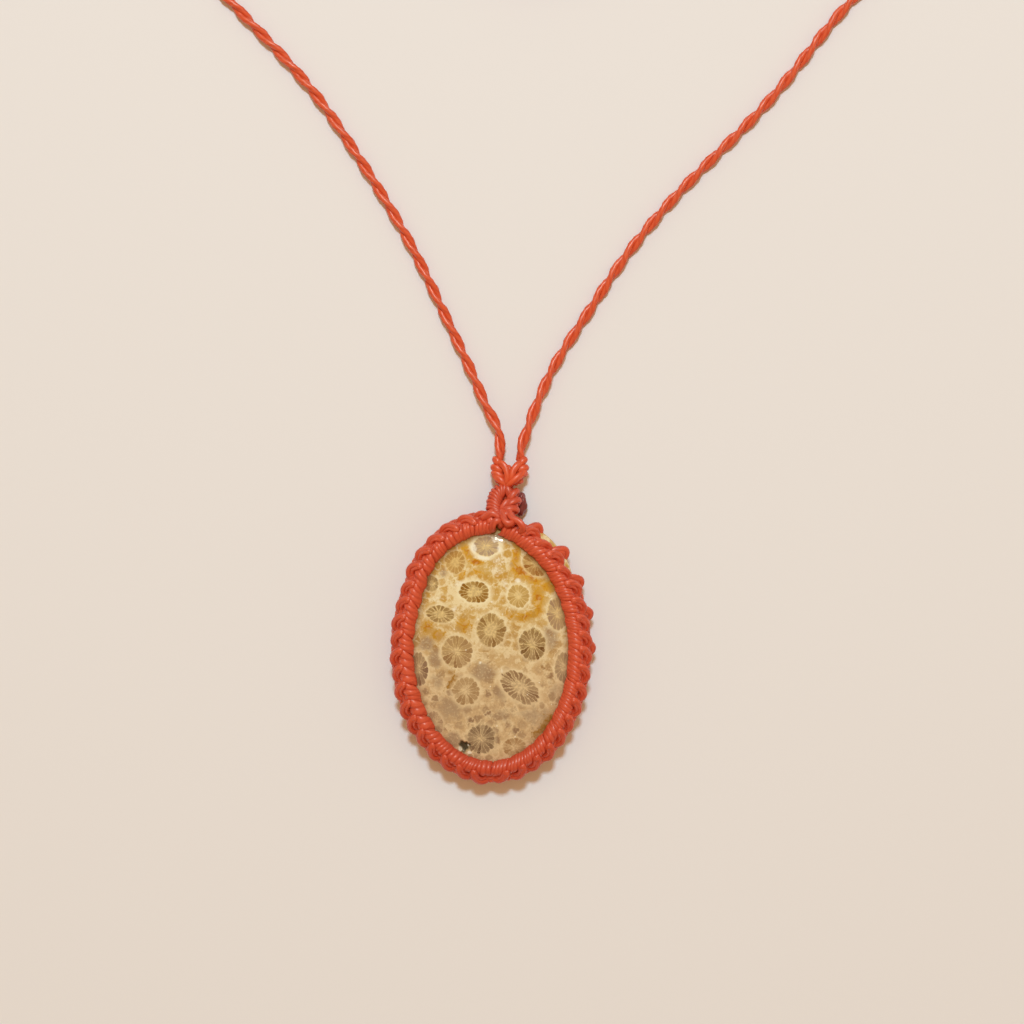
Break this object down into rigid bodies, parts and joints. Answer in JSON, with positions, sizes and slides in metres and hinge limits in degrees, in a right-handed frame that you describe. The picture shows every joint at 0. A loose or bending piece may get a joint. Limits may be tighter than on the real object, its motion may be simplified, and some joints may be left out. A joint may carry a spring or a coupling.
{
  "type": "fossil coral pendant necklace",
  "caption": "Oval polished fossil coral cabochon in a knotted waxed-cord setting with a wrapped bail, hung on an endless twisted neck cord.",
  "frame": {"origin": "bottom centre of the pendant's box, measured without the neck cord, on the surface that the pendant lies on", "axes": "+X to the right as the pendant is looked at, +Y along the oval towards the bail, +Z out of the stone's polished face"},
  "size_m": [0.1052, 0.1458, 0.0069],
  "materials": {
    "fossil_coral": "polished, cream to grey-brown with corallites",
    "setting_cord": "waxed, coral red",
    "neck_cord": "waxed, twisted, coral red",
    "melted_cord": "melted, dark maroon"
  },
  "bodies": {
    "root": {"stone": "fossil_coral", "front_row": "setting_cord", "back_row": "setting_cord", "bail": "setting_cord", "melted_end": "melted_cord", "necklace_knot": "neck_cord", "necklace_left": "neck_cord", "necklace_right": "neck_cord", "necklace_coil": "neck_cord"}
  },
  "joints": []
}
